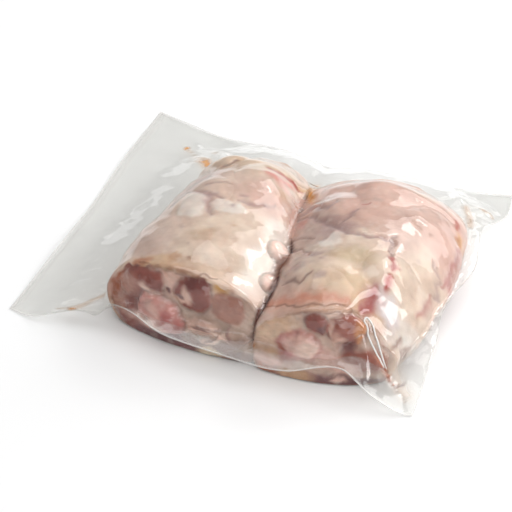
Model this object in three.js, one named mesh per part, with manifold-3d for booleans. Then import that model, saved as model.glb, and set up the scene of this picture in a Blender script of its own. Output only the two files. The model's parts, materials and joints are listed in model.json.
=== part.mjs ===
// A vacuum pack of raw calf foot: two skin-on pieces lie side by side in a clear pouch. The air is
// drawn out, so the film hugs the meat and stands out round it as a thin, wavy flange.
// Millimetres, +Z up. X runs along the pack. Y runs from the cut faces at the front to the back.
import * as THREE from "three";
import { mergeVertices } from "three/addons/utils/BufferGeometryUtils.js";
import Module from "manifold-3d";

const wasm = await Module();
wasm.setup();

// ---------- driving dimensions ----------

const FILM_THICKNESS = 1.4; // both webs of film and the air left between them
const SEAM_HEIGHT = 21; // where the two webs meet at the meat's side, above the table
const SEAM_REACH = 28; // distance over which the flange comes down to the table
const WAVE_HEIGHT = 0.9;
const WAVES = [ // slow waves in the free film: how far apart along X and along Y, and a shift
  { x: 15, y: 31, shift: 0 },
  { x: -43, y: 17, shift: 1.2 },
];
const FREE_FROM = 20; // the waves are full at this distance from the meat
const CORNER = [141, 124]; // the pouch's corners lie on the table
const CORNER_REACH = 26; // as far as this from them the film is lifted less
const SHEET_CELLS = [44, 39];

// The pouch's edge as seen from above, one smooth curve a side, corner to corner.
const FRONT_EDGE = [
  [-140, -122], [-114, -126], [-84, -113], [-58, -116], [-28, -128], [20, -131],
  [60, -130], [90, -120], [113, -129], [140, -122],
];
const BACK_EDGE = [
  [-143, 130], [-95, 117], [-40, 110], [0, 101], [50, 103], [95, 112], [140, 125],
];
const LEFT_EDGE = [[-140, -122], [-138, -40], [-142, 60], [-143, 130]];
const RIGHT_EDGE = [[140, -122], [139, -72], [134, -44], [141, 8], [134, 58], [142, 96], [140, 125]];

// The pieces touch along this line on the table: Y and X. Its bends are rounded by these shifts in Y.
const CREASE = [[-118, 28], [-92, 31], [-72, 35], [-44, 34], [-20, 22], [30, 13], [78, 7]];
const CREASE_SHIFTS = [-8, -4, 0, 4, 8];
const CREASE_GAP = 0.8;

// Stations along a piece: Y, left X, right X and height of the top.
const LEFT_PIECE = {
  stations: [
    [-117, -76, 31, 55],
    [-60, -79, 36, 58],
    [-10, -73, 30, 55],
    [34, -70, 18, 47],
    [70, -64, 8, 34],
  ],
  sideTilt: 0.0, // how much higher the right side stands than the left, at the cut face
  // how far the top rolls down beside the other piece and on the free side: the share of its height
  // that is lost at the cut face and at the far end, and how sharply
  innerShoulder: { front: 0.6, back: 0.5, power: 7 },
  outerShoulder: { front: 0.1, back: 0.35, power: 5 },
  outerLean: 0, // how far the free side leans in at the top of the cut face
  endRound: 30, // how far from the far end its width starts to close
  endSlope: 58, // how far from the far end its height starts to fall
  faceTurn: { left: 10, right: 3 }, // how far the cut face draws back at its left and right sides
  faceLean: 12, // the foot of the cut face stands this far in front of its top
  knuckle: { x: -34, z: 21, radius: 15, height: 7 },
  muscles: [
    { x: -50, z: 38, radius: 15, height: 3 },
    { x: -12, z: 41, radius: 14, height: 3 },
    { x: 12, z: 34, radius: 12, height: 3 },
    { x: 0, z: 13, radius: 16, height: 4 },
    { x: -60, z: 18, radius: 10, height: 3 },
  ],
  lumps: [
    { x: 23, y: -45, radius: 12, height: 5 },
    { x: 26, y: -72, radius: 12, height: 5 },
    { x: -48, y: -20, radius: 26, height: 3 },
    { x: -12, y: 18, radius: 22, height: 4 },
    { x: -50, y: 44, radius: 15, height: 4 },
  ],
};
const RIGHT_PIECE = {
  stations: [
    [-117, 26, 121, 53],
    [-60, 12, 130, 59],
    [-10, 6, 133, 59],
    [32, 8, 128, 52],
    [77, 16, 114, 34],
  ],
  sideTilt: 0.2,
  innerShoulder: { front: 0.55, back: 0.6, power: 3.6 },
  outerShoulder: { front: 0.1, back: 0.3, power: 5 },
  outerLean: 9,
  endRound: 30,
  endSlope: 52,
  faceTurn: { left: 0, right: 14 },
  faceLean: 10,
  knuckle: { x: 61, z: 22, radius: 15, height: 7 },
  muscles: [
    { x: 72, z: 43, radius: 11, height: 3 },
    { x: 90, z: 40, radius: 13, height: 3 },
    { x: 43, z: 32, radius: 12, height: 2 },
    { x: 97, z: 23, radius: 13, height: 3 },
  ],
  lumps: [
    { x: 38, y: 4, radius: 22, height: 4 },
    { x: 104, y: -58, radius: 20, height: 4 },
    { x: 72, y: 30, radius: 24, height: 3 },
    { x: 56, y: -72, radius: 24, height: 3 },
    { x: 108, y: 12, radius: 18, height: 3 },
  ],
};
const PIECE_CELLS = [16, 22, 10]; // across, along, up
const END_CROWDING = 0.35; // how much closer the grid's rows lie towards both ends
const WAIST = 20; // height of a piece's widest line
const EDGE_ROUND = 6; // rounding between a cut face and the skin, measured along the piece
const EDGE_INSET = 3.5; // and measured across it
const ROUNDNESS = 0.42; // 0 gives square sections, 0.5 round ones
const BASE_ROUNDNESS = 0.3; // the same below the waist
const END_WIDTH = 0.5; // width of the far end's blunt tip, as a share of the section
const END_HEIGHT = 0.3; // and its height
const END_BULGE = 5; // how far the far end's tip swells
const END_CORNER = 26; // rounding of the far end as seen from above
const LEAN_REACH = 0.25; // share of a piece's length over which the cut face's lean dies out
const OUTER_LEAN_REACH = 0.625; // and the same for the free side's lean
const RELIEF_FADE = 0.25; // share of the cut face over which its relief dies out at the rim
const UNDERCUT = 3; // how far a piece reaches below the table before its flat is cut
const BELOW_TABLE = { size: 400, depth: 20 }; // the block that cuts it

// Folds of film that run from the meat to the pouch's corners: from, to, height and half width.
// One with a negative height is a dip.
const FOLDS = [
  { from: [106, -102], to: [136, -121], height: 12, width: 12 },
  { from: [-82, -110], to: [-118, -118], height: -17, width: 10 },
  { from: [-64, 66], to: [-118, 108], height: 5, width: 7 },
  { from: [112, 70], to: [134, 112], height: 6, width: 8 },
];

// ---------- small helpers ----------

const clamp = (value, low, high) => Math.min(Math.max(value, low), high);
const smooth = (t) => t * t * (3 - 2 * t);

function curveThrough(points) {
  const path = points.map(([x, y]) => new THREE.Vector3(x, y, 0));
  return new THREE.CatmullRomCurve3(path, false, "centripetal");
}

// Values between a piece's stations, by smooth steps.
function station(piece, y) {
  const rows = piece.stations;
  let i = 0;
  while (i < rows.length - 2 && y > rows[i + 1][0]) i += 1;
  const t = smooth(clamp((y - rows[i][0]) / (rows[i + 1][0] - rows[i][0]), 0, 1));
  const [left, right, top] = [1, 2, 3].map((k) => THREE.MathUtils.lerp(rows[i][k], rows[i + 1][k], t));
  return { left, right, top };
}

// A round swelling: full height at its middle, nothing past its radius.
function swelling(distance, radius, height) {
  return height * clamp(1 - (distance / radius) ** 2, 0, 1);
}

// Merges the vertices that a box's faces share.
function weld(geometry) {
  geometry.deleteAttribute("normal");
  geometry.deleteAttribute("uv");
  return mergeVertices(geometry, 1e-4);
}

// Moves every vertex of a closed box grid to where shape() puts it.
function shapedBox(cells, shape) {
  const merged = weld(new THREE.BoxGeometry(2, 2, 2, ...cells));
  const position = merged.getAttribute("position");
  for (let i = 0; i < position.count; i += 1) {
    const [x, y, z] = shape(position.getX(i), position.getY(i), position.getZ(i));
    position.setXYZ(i, x, y, z);
  }
  return merged;
}

function toManifold(geometry) {
  const vertProperties = new Float32Array(geometry.getAttribute("position").array);
  const triVerts = new Uint32Array(geometry.getIndex().array);
  return new wasm.Manifold(new wasm.Mesh({ numProp: 3, vertProperties, triVerts }));
}

function toGeometry(manifold) {
  const { vertProperties, triVerts } = manifold.getMesh();
  const geometry = new THREE.BufferGeometry();
  geometry.setAttribute("position", new THREE.BufferAttribute(new Float32Array(vertProperties), 3));
  geometry.setIndex(new THREE.BufferAttribute(new Uint32Array(triVerts), 1));
  geometry.computeVertexNormals();
  return geometry;
}

// ---------- the two pieces ----------

// X of the line between the pieces, as a mean over a short stretch of it.
function creaseAt(y) {
  let sum = 0;
  for (const shift of CREASE_SHIFTS) {
    const at = y + shift;
    let i = 0;
    while (i < CREASE.length - 2 && at > CREASE[i + 1][0]) i += 1;
    const [from, to] = [CREASE[i], CREASE[i + 1]];
    sum += THREE.MathUtils.lerp(from[1], to[1], clamp((at - from[0]) / (to[0] - from[0]), 0, 1));
  }
  return sum / CREASE_SHIFTS.length;
}

// How far the cut face stands forward at a point on it.
function faceRelief(piece, x, z) {
  let out = 0;
  for (const mound of [piece.knuckle, ...piece.muscles]) {
    out += swelling(Math.hypot(x - mound.x, z - mound.z), mound.radius, mound.height);
  }
  return out;
}

// Share of the full section that is left near a far end: an arc down to the blunt tip.
function endShare(distance, tip) {
  const t = 1 - clamp(distance, 0, 1);
  return Math.sqrt(1 - (1 - tip * tip) * t * t);
}

// Share of the height that is lost at a shoulder. Nearness is 1 at that side and 0 at the other.
function shoulderDrop(shoulder, along, nearness) {
  return THREE.MathUtils.lerp(shoulder.front, shoulder.back, along) * nearness ** shoulder.power;
}

// Side is 1 for the piece that has the other on its right, and -1 for the other one.
function pieceShape(piece, side) {
  const rows = piece.stations;
  const front = rows[0][0];
  const back = rows[rows.length - 1][0];
  return (u, v, w) => {
    const along = (1 + v * (1 + END_CROWDING * (1 - v * v))) / 2;
    const y = front + (back - front) * along;
    const { left, right, top } = station(piece, y);
    const inner = (1 + side * u) / 2;
    const tilt = 1 + piece.sideTilt * u * (1 - along) - shoulderDrop(piece.innerShoulder, along, inner)
      - shoulderDrop(piece.outerShoulder, along, 1 - inner);
    const halfWidth = (right - left) / 2;
    const halfHeight = w > 0 ? (top - WAIST) * tilt : WAIST + UNDERCUT;
    const round = w > 0 ? ROUNDNESS : BASE_ROUNDNESS;
    // the far end closes as a dome, the cut end keeps its size but for a rounded edge
    const toBack = back - y;
    const nearEdge = clamp(1 - (y - front) / EDGE_ROUND, 0, 1);
    const inset = EDGE_INSET * (1 - Math.sqrt(1 - nearEdge * nearEdge));
    const across = (halfWidth - inset) * endShare(toBack / piece.endRound, END_WIDTH);
    const up = (halfHeight - inset) * endShare(toBack / piece.endSlope, END_HEIGHT);
    let x = (left + right) / 2 + u * Math.sqrt(1 - round * w * w) * across;
    const leaning = (1 - inner) ** 3 * clamp(w, 0, 1) * clamp(1 - along / OUTER_LEAN_REACH, 0, 1);
    x += side * piece.outerLean * leaning;
    let z = WAIST + w * Math.sqrt(1 - round * u * u) * up;
    // skin lumps lift the top
    if (w > 0) {
      for (const lump of piece.lumps) {
        z += w * swelling(Math.hypot(x - lump.x, y - lump.y), lump.radius, lump.height);
      }
    }
    // the side against the other piece is pressed flat
    const limit = creaseAt(y) - side * CREASE_GAP / 2;
    x = side > 0 ? Math.min(x, limit) : Math.max(x, limit);
    // the cut face leans back, turns and carries the knuckle and the muscles
    const nearFace = clamp(1 - along / LEAN_REACH, 0, 1);
    const turn = piece.faceTurn.left * ((1 - u) / 2) ** 3 + piece.faceTurn.right * ((1 + u) / 2) ** 3;
    const lean = piece.faceLean * clamp(z / top, 0, 1) + turn;
    const rim = Math.max(Math.abs(u), Math.abs(w));
    const relief = v <= -1 ? faceRelief(piece, x, z) * clamp((1 - rim) / RELIEF_FADE, 0, 1) : 0;
    const bulge = v >= 1 ? END_BULGE * (1 - rim * rim) : 0;
    return [x, y + lean * nearFace - relief + bulge, z];
  };
}

// ---------- the film ----------

// Distance on the table from a point to the upright outline of a piece.
function distanceToPiece(piece, x, y) {
  const rows = piece.stations;
  const front = rows[0][0];
  const back = rows[rows.length - 1][0];
  const { left, right } = station(piece, clamp(y, front, back));
  const corner = y > 0 ? END_CORNER : 0;
  const dx = Math.max(left - x, x - right) + corner;
  const dy = Math.max(front - y, y - back) + corner;
  return Math.max(Math.hypot(Math.max(dx, 0), Math.max(dy, 0)) - corner, 0);
}

function foldHeight(fold, x, y) {
  const run = new THREE.Vector2(fold.to[0] - fold.from[0], fold.to[1] - fold.from[1]);
  const length = run.length();
  run.normalize();
  const offset = new THREE.Vector2(x - fold.from[0], y - fold.from[1]);
  const along = clamp(offset.dot(run) / length, 0, 1);
  const beside = Math.abs(offset.cross(run));
  const beyond = Math.max(-offset.dot(run), offset.dot(run) - length, 0);
  const spread = Math.hypot(beside, beyond) / fold.width;
  return fold.height * (1 - along) ** 1.5 * Math.exp(-spread * spread);
}

function filmMiddle(x, y) {
  const away = Math.min(distanceToPiece(LEFT_PIECE, x, y), distanceToPiece(RIGHT_PIECE, x, y));
  let z = SEAM_HEIGHT * Math.exp(-((away / SEAM_REACH) ** 2));
  for (const fold of FOLDS) z += foldHeight(fold, x, y);
  const free = clamp(away / FREE_FROM, 0, 1);
  for (const wave of WAVES) {
    z += free * WAVE_HEIGHT * (1 + Math.sin(x / wave.x + y / wave.y + wave.shift));
  }
  z = Math.max(z, 0);
  // the corners lie on the table
  const corner = Math.hypot(Math.abs(x) - CORNER[0], Math.abs(y) - CORNER[1]);
  return z * smooth(clamp(corner / CORNER_REACH, 0, 1)) + FILM_THICKNESS / 2;
}

function sheetShape() {
  const [front, back, left, right] = [FRONT_EDGE, BACK_EDGE, LEFT_EDGE, RIGHT_EDGE].map(curveThrough);
  return (u, v, w) => {
    const s = (u + 1) / 2;
    const t = (v + 1) / 2;
    // a surface stretched between the four edges
    const point = front.getPointAt(s).multiplyScalar(1 - t);
    point.addScaledVector(back.getPointAt(s), t);
    point.addScaledVector(left.getPointAt(t), 1 - s);
    point.addScaledVector(right.getPointAt(t), s);
    point.addScaledVector(left.getPointAt(0), -(1 - s) * (1 - t));
    point.addScaledVector(right.getPointAt(0), -s * (1 - t));
    point.addScaledVector(left.getPointAt(1), -(1 - s) * t);
    point.addScaledVector(right.getPointAt(1), -s * t);
    return [point.x, point.y, filmMiddle(point.x, point.y) + w * FILM_THICKNESS / 2];
  };
}

// ---------- the pack ----------

function vacuumPack() {
  const sheet = toManifold(shapedBox([...SHEET_CELLS, 1], sheetShape()));
  const left = toManifold(shapedBox(PIECE_CELLS, pieceShape(LEFT_PIECE, 1)));
  const right = toManifold(shapedBox(PIECE_CELLS, pieceShape(RIGHT_PIECE, -1)));
  const belowTable = new THREE.BoxGeometry(BELOW_TABLE.size, BELOW_TABLE.size, BELOW_TABLE.depth);
  belowTable.translate(0, 0, -BELOW_TABLE.depth / 2);
  return toGeometry(sheet.add(left).add(right).subtract(toManifold(weld(belowTable))));
}

const geometry = vacuumPack();
geometry.computeBoundingBox();
const middle = geometry.boundingBox.getCenter(new THREE.Vector3());
geometry.translate(-middle.x, -middle.y, -geometry.boundingBox.min.z);

const skinAndFilm = new THREE.MeshStandardMaterial({ color: 0xd9c0b0, roughness: 0.25, metalness: 0 });
const pack = new THREE.Mesh(geometry, skinAndFilm);
pack.name = "calf_foot_pack";

const group = new THREE.Group();
group.add(pack);

export default group;
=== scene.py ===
"""A vacuum pack of raw calf foot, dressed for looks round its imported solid.

Two skin-on pieces lie side by side in a clear pouch. They are modelled as closed meshes, and the
pouch's film is then drawn tight over them, so it touches what is proud and bridges what is hollow.
"""

import json
import math

import bmesh
import bpy
import numpy as np
from bpy.props import FloatProperty, FloatVectorProperty, IntProperty, PointerProperty
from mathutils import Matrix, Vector
from mathutils.bvhtree import BVHTree

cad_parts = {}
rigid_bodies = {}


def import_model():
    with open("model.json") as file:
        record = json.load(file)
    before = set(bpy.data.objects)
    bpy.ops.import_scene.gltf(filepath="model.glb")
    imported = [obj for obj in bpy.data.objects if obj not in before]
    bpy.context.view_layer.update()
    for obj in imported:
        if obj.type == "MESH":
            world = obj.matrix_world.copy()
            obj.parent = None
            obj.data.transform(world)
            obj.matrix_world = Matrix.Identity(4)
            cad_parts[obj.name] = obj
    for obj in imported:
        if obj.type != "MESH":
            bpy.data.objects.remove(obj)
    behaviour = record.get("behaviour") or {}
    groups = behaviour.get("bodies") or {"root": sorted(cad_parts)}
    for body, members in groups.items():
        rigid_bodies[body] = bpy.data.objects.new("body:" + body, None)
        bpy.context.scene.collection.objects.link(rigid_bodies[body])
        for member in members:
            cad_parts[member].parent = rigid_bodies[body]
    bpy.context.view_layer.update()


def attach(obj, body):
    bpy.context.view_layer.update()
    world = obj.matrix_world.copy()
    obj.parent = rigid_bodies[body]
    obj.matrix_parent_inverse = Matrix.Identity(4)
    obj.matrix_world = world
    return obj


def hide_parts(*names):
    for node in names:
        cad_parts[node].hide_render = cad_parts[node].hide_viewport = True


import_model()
NODE = "calf_foot_pack"

bl_info = {
    "name": "Vacuum-packed calf foot",
    "version": (1, 0, 0),
    "blender": (4, 5, 0),
    "location": "3D View > Sidebar > Calf foot",
    "description": "Two raw pieces of calf foot in a clear vacuum pouch",
    "category": "Object",
}

MM = 0.001  # sizes and places in the tables below are in millimetres

# ---------- the two pieces ----------

# The pieces touch along this line: Y and X. Its bends are rounded by these shifts in Y.
CREASE = [
    (-118, 30.5), (-108, 31.5), (-92, 32.5), (-80, 33.5), (-73, 32.5), (-66, 29.5), (-60, 29),
    (-53, 31), (-44, 30.5), (-34, 27), (-20, 21.5), (-8, 17.5), (30, 12), (78, 7),
]
CREASE_SHIFTS = (-4, -2, 0, 2, 4)
CREASE_GAP = 0.3
# Down in the crease the skin is painted dark brown as painted shade: Y and strength along it, and how wide.
CREASE_SHADE = [(-110, 0.24), (-95, 0.72), (-60, 0.64), (-45, 0.12), (-20, 0.08), (20, 0.08)]
CREASE_SHADE_WIDTH = 2.5

WAIST = 20  # height of a piece's widest line
UNDERCUT = 3  # how far a piece would reach below the table if nothing cut it flat
ROUNDNESS = 0.42  # 0 gives square sections, 0.5 round ones
BASE_ROUNDNESS = 0.3  # the same below the waist
END_WIDTH = 0.5  # width of the far end's blunt tip, as a share of the section
END_HEIGHT = 0.3  # and its height
END_BULGE = 5  # how far the far end's tip swells
END_CORNER = 26  # rounding of the far end as seen from above
END_CROWDING = 0.35  # how much closer the rows of cells lie towards both ends
LEAN_REACH = 0.25  # share of a piece's length over which the cut face's lean dies out
OUTER_LEAN_REACH = 0.625  # and the same for the free side's lean
EDGE_ROUND = 4.5  # rounding between a cut face and the skin, measured along the piece
EDGE_INSET = 2.2  # and measured across it
FACE_REACH = 40  # from the rim of a cut face to its middle, about
FACE_FADE = 7  # a cut face's relief dies out over this distance from its rim
MEAT_FLOOR = 0.8  # the film lies between the meat and the table

# A groove runs round what stands proud and has a crisp edge, and is painted darker as painted shade: at which
# share of its radius, how deep, and how wide on the cut face and round a knob.
PROUD = 2
CRISP = 0.2
GROOVE_AT = 1.04
GROOVE_DEPTH = 0.7
GROOVE_WIDTH = 1.1
KNOB_GROOVE_WIDTH = 0.9
# Patches on the skin with an edge crisper than this stand this proud.
CRISP_PATCH = 0.35
PATCH_HEIGHT = 0.5

# Muscle fibres: how they are squeezed along X and Z, and the size and seed of their pattern.
FIBRE_SQUEEZE = (0.6, 2.4)
FIBRE_SIZE, FIBRE_SEED = 5, 41

# Random fields: how strong, the size of their features and their seed.
DENTS = [(0.55, 34, 31), (0.14, 13, 32), (0.04, 5, 33)]
FACE_ROUGHNESS = [(0.25, 6, 34)]
TONES = [(0.04, 14, 21), (0.03, 5, 22)]
SKIN_END = [(1.2, 9, 11)]
DRY_PATCHES = [(0.6, 26, 12)]
# These shift what is drawn on the cut face and on the skin, so that its outline is uneven.
FACE_WOBBLE = [(1.0, 16, 3), (0.35, 5, 13)]
PATCH_WOBBLE = [(2.2, 22, 5), (0.7, 7, 15)]
STROKE_WOBBLE = [(0.9, 9, 7), (0.3, 4, 17)]

# What the pieces are coloured with, under their clear film.
PAINTS = {
    "skin": "d8bfb0", "pink skin": "d5b6a9", "cut fat": "c3a595",
    "pale": "ede4dc", "cream": "e1cdbb", "warm": "dcc4ab", "olive": "c4ac88", "yellow": "d2b080",
    "tan": "c39a78", "pink": "d9b2a6", "rose": "dd988d", "salmon": "cf8b72", "back pink": "dab5a8",
    "mauve": "a98a88", "dusk": "bda59c", "lilac": "e6dcdd", "brown": "7a4a36", "rust": "a35834",
    "orange": "bf8050", "amber": "a8743a", "bright amber": "d08a2a", "red": "ae3d33",
    "raw red": "b0605c", "maroon": "6a393a",
    "muscle": "8a473c", "deep muscle": "74352f", "light muscle": "aa7868", "tendon": "d6b0a0",
    "knuckle": "cf948b", "knuckle fat": "d8aea2", "knuckle red": "ad5753", "shade": "85595a",
    "marrow": "6e2f29", "fold": "93726a", "bone": "e6c8ba", "nub": "ecccc0",
    "gold": "c48f40", "yellow fat": "d3b196", "red muscle": "985546", "dark brown": "5a2f25",
    "fat pink": "c99f90", "dull fat": "9c8070", "brick": "93380f",
}

# Stations along a piece: Y, left X, right X and height of the top.
LEFT_PIECE = {
    "name": "foot_left",
    "side": 1,
    "stations": [
        (-117, -76, 40, 55), (-60, -79, 42, 58), (-10, -73, 32, 55), (34, -70, 18, 47), (70, -64, 8, 34),
    ],
    "side_tilt": 0.0,
    # how far the top rolls down beside the other piece and on the free side: at the cut, at the back
    # and how sharply
    "inner_shoulder": (0.14, 0.5, 6),
    "outer_shoulder": (0.1, 0.35, 5),
    "outer_lean": 0,
    "end_round": 30,
    "end_slope": 58,
    "turn_left": 10,
    "turn_right": 3,
    "lean": 12,
    # knobs of fat on the skin beside the crease: X, Y, Z, radius and height
    "knobs": [(24.5, -50, 43, 9.5, 3.6), (29, -79, 40, 7.5, 3.2)],
    # swellings under the skin: X, Y, radius and height
    "lumps": [(-48, -20, 26, 3), (-12, 18, 22, 4), (-50, 44, 15, 4)],
    "ground": ("skin", "cut fat"),
    # on the cut face: X, Z, radius in X, radius in Z, turn, height, paint and softness
    "face": [
        (-45, 50, 30, 9, 0, 0, "tendon", 0.3),
        (-51, 37, 18, 11.5, 12, 3, "muscle", 0.12),
        (-60, 33, 8, 7, 20, 0, "light muscle", 0.6),
        (-29, 44, 6, 11, 25, 1, "tendon", 0.3),
        (-12, 41, 13, 13, 0, 3, "muscle", 0.12),
        (-11, 49, 8, 5, 0, 0, "deep muscle", 0.5),
        (-16, 39, 3, 6, 20, 0, "tendon", 0.5),
        (11.5, 36, 11.5, 10.5, -15, 1.5, "light muscle", 0.12),
        (-4, 56, 17, 3, -5, 0, "salmon", 0.4),
        (6, 50, 5, 4, 0, 0, "gold", 0.6),
        (2, 13, 22, 13, 0, 3, "dull fat", 0.3),
        (-5, 20, 12, 5, 5, 1.5, "tendon", 0.4),
        (2, 12, 14, 2.5, 25, 1.5, "bone", 0.5),
        (14, 11, 12, 3, 30, 1, "fold", 0.5),
        (-6, 9, 9, 2, -20, 0, "fold", 0.5),
        (-2, 20, 11, 1.1, 8, 0.8, "fold", 0.4),
        (8, 17, 8, 1, -25, 0.8, "bone", 0.4),
        (4, 14, 7, 0.9, 35, 0.8, "fold", 0.4),
        (15, 19, 1, 6, 10, 0.8, "fold", 0.4),
        (-14, 14, 7, 1.2, 30, 0.8, "bone", 0.4),
        (-62, 18, 9, 14, 0, 2, "light muscle", 0.4),
        (-54, 19, 6, 8, 10, 2, "muscle", 0.3),
        (-38, 33, 12, 3, -10, 1, "bone", 0.35),
        (-34, 20, 18, 12.5, -28, 7, "knuckle", 0.07),
        (-26, 18, 9, 6, -30, 0, "knuckle red", 0.5),
        (-38, 24, 7, 4, -35, 0, "knuckle fat", 0.5),
        (-20, 35, 4, 2.6, 20, 1, "tendon", 0.3),
        (-29, 38, 2.6, 2, 0, 0, "maroon", 0.5),
        (-20, 38, 2.2, 1.6, 0, 0, "maroon", 0.5),
        (-44, 10, 14, 7, 0, 0, "pink", 0.5),
        (-20, 3, 60, 5, 0, 0, "shade", 0.5),
        (-62, 5, 10, 6, 0, 0, "muscle", 0.5),
        (-32, 2, 18, 4, 0, 0, "maroon", 0.5),
        (2, 3, 9, 4, 0, 0, "warm", 0.5),
        (24, 3, 12, 4, 0, 0, "fold", 0.5),
        (-71, 28, 6, 17, 0, 0, "rust", 0.5),
    ],
    # on the skin: X, Y, radius in X, radius in Y, turn, paint, strength and softness
    "patches": [
        # the free left side is painted a little darker, away from the light: painted shade
        (-74, -40, 14, 76, 0, "dusk", 0.1, 0.5),
        (-30, 40, 34, 24, 0, "warm", 0.8, 0.5),
        (-50, 12, 14, 18, 0, "mauve", 0.4, 0.6),
        (-2, -6, 16, 14, 0, "pink", 0.7, 0.5),
        (-50, -76, 14, 18, 0, "dusk", 0.5, 0.6),
        (-6, -68, 34, 36, 0, "cream", 0.85, 0.4),
        (20, -50, 10, 46, 0, "pale", 0.7, 0.5),
        (-42, -38, 9, 12, 10, "pale", 0.85, 0.18),
        (-20, -32, 12, 9, -5, "pale", 0.8, 0.18),
        (-24, -65, 11, 6, 25, "tan", 0.4, 0.5),
        (-44, -97, 18, 7, -3, "yellow", 0.45, 0.5),
        (-18, -97, 28, 8, -3, "tan", 0.3, 0.5),
        (-30, -93, 5, 5, 0, "tan", 0.6, 0.4),
        (-54, -96, 6, 5, 0, "rust", 0.7, 0.5),
        (-77, -104, 7, 14, 0, "rust", 0.6, 0.5),
        (9, 9, 6, 10, -30, "tan", 0.5, 0.5),
        (-2, 20, 12, 6, -10, "rose", 0.45, 0.5),
    ],
    # creases and marks on the skin: points, width, depth, paint and strength; the mauve and fold creases are
    # painted darker in their grooves: painted shade
    "strokes": [
        ([(-55, -17), (-40, -21), (-26, -23)], 2.4, 0.6, "mauve", 0.7),
        ([(-38, -21), (-33, -33), (-27, -45)], 3, 0.5, "mauve", 0.65),
        ([(-15, -22), (-4, -20), (5, -10)], 2.4, 0.6, "mauve", 0.6),
        ([(-60, -34), (-58, -8), (-50, 12)], 4, 0.5, "mauve", 0.5),
        ([(-45, -12), (-38, -6), (-29, -4)], 1.8, 0.6, "fold", 0.5),
        ([(-52, 20), (-47, 29), (-41, 35)], 1.6, 0.8, "maroon", 0.6),
        ([(-12, 21), (-4, 22), (3, 30)], 3.8, -0.6, "rose", 1),
        ([(-16, 30), (-6, 33), (1, 36), (7, 35)], 2.2, 0.5, "red", 1),
        ([(6, 37), (12, 40), (20, 32)], 2.4, 0, "gold", 0.8),
        ([(-53, -97), (-44, -101), (-26, -104), (-9, -103), (2, -102)], 1, 0.3, "brown", 0.7),
    ],
    "spots": [
        (-15, -15, 2.8, "mauve"), (-17, -29, 2.2, "mauve"), (-6, -21, 2.4, "mauve"), (3, -16, 2.8, "mauve"),
        (-22, -91, 2.4, "brown"), (-28, -78, 1.8, "dusk"), (-40, -60, 3, "dusk"), (-8, -50, 2.4, "tan"),
    ],
}
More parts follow.
